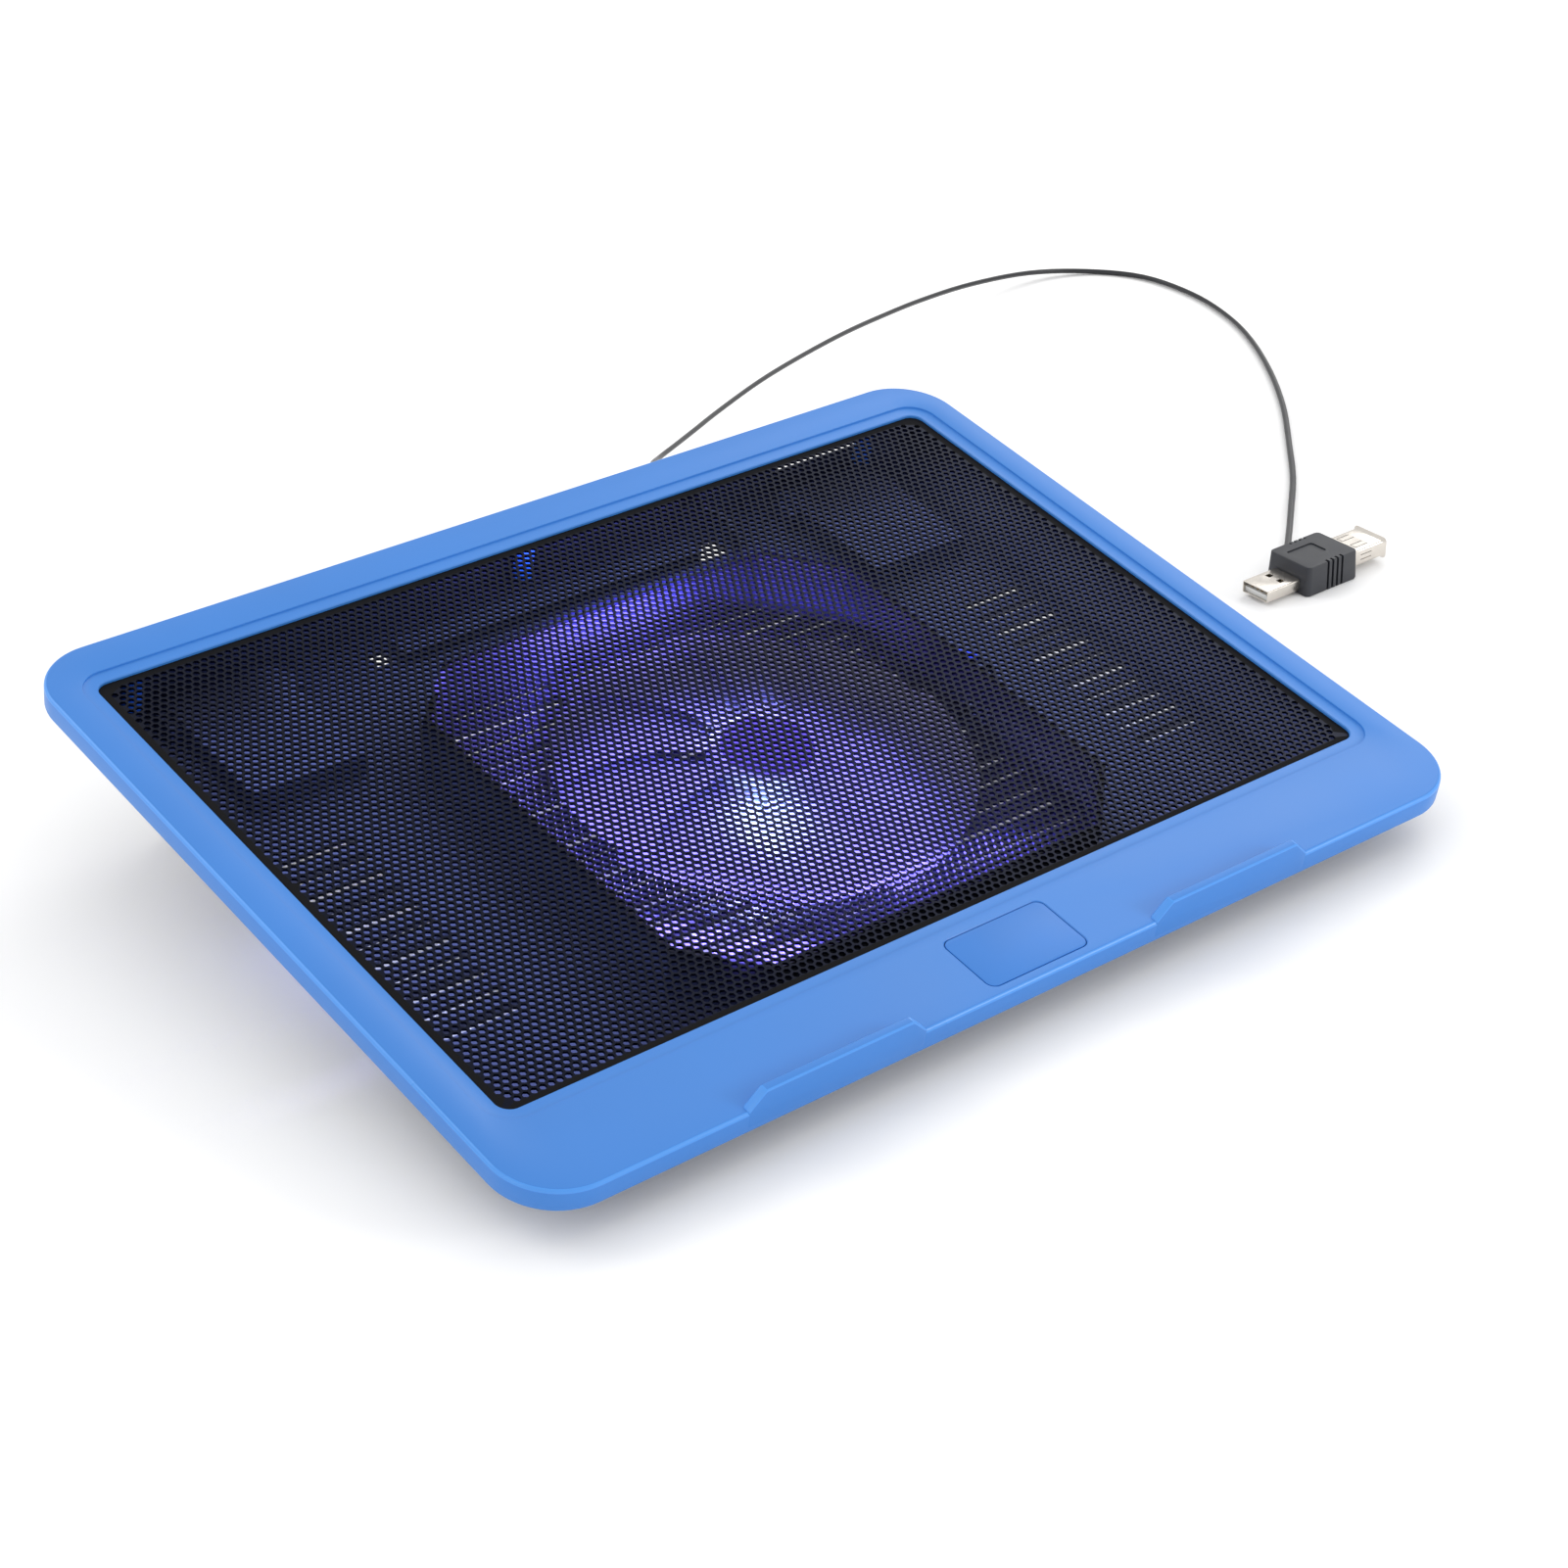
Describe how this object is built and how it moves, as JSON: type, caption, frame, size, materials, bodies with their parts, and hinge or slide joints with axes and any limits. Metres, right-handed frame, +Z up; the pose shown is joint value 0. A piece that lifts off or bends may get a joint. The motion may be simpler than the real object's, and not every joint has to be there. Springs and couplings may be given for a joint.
{
  "type": "laptop cooling pad",
  "caption": "Laptop cooling pad: mesh-topped blue case with one large fan, leaning on two flip-out rear legs, with a USB pass-through lead",
  "frame": {"origin": "the point of the desk under the middle of the standing case, leaving out the free cable and its plug", "axes": "+X to the user's right along the case's width, +Y away from the user, +Z up from the desk; the case leans back 10 degrees about X"},
  "size_m": [0.5866, 0.4183, 0.0633],
  "materials": {
    "frame_blue": "fine satin moulding",
    "badge_blue": "fine satin moulding",
    "mesh_black": "black powder coat on perforated steel",
    "tray_black": "matt moulding",
    "rubber_grey": "matt rubber",
    "steel": "zinc-plated",
    "fan_clear": "milky clear moulding",
    "cap_grey": "plain printed film",
    "magnet": "ferrite",
    "motor_white": "satin",
    "bronze": "sintered",
    "core_steel": "stacked laminations",
    "copper": "enamelled wire",
    "board_green": "solder mask",
    "led": "clear lens over a blue-white lamp",
    "lead_black": "soft PVC",
    "splice_blue": "heat-shrink sleeve",
    "cable_black": "soft PVC, twin core",
    "grommet_black": "matt rubber",
    "plug_black": "overmoulded PVC",
    "shell_nickel": "nickel-plated sheet",
    "tongue_white": "moulded",
    "contact_gold": "gold flash"
  },
  "bodies": {
    "case": {"top_frame": "frame_blue", "badge_plate": "badge_blue", "mesh_panel": "mesh_black", "base_tray": "tray_black", "rubber_feet": "rubber_grey", "case_screws": "steel", "leg_pins": "steel", "motor_base": "motor_white", "bearing_sleeve": "bronze", "stator_core": "core_steel", "stator_coils": "copper", "motor_board": "board_green", "motor_screws": "steel", "led_board": "motor_white", "led_lamp": "led", "led_lead": "lead_black", "fan_lead": "lead_black", "lead_splice": "splice_blue", "inner_cable": "cable_black", "cable_grommet": "grommet_black", "usb_cable": "cable_black", "plug_body": "plug_black", "plug_shell": "shell_nickel", "plug_tongue": "tongue_white", "plug_contacts": "contact_gold", "socket_shell": "shell_nickel", "socket_tongue": "tongue_white", "socket_contacts": "contact_gold"},
    "rotor": {"fan_rotor": "fan_clear", "hub_cap": "cap_grey", "rotor_magnet": "magnet", "rotor_shaft": "steel"},
    "left_leg": {"left_leg": "tray_black", "left_leg_tip": "rubber_grey"},
    "right_leg": {"right_leg": "tray_black", "right_leg_tip": "rubber_grey"}
  },
  "joints": [
    {"name": "fan_spin", "type": "hinge", "parent": "case", "child": "rotor", "pos_m": [0, -0.00407, 0.02839], "axis": [0, -0.1736, 0.9848], "continuous": true},
    {"name": "left_leg_fold", "type": "hinge", "parent": "case", "child": "left_leg", "pos_m": [-0.116, 0.10456, 0.04003], "axis": [-1, 0, 0], "range_deg": [0, 95]},
    {"name": "right_leg_fold", "type": "hinge", "parent": "case", "child": "right_leg", "pos_m": [0.116, 0.10456, 0.04003], "axis": [-1, 0, 0], "range_deg": [0, 95]}
  ]
}
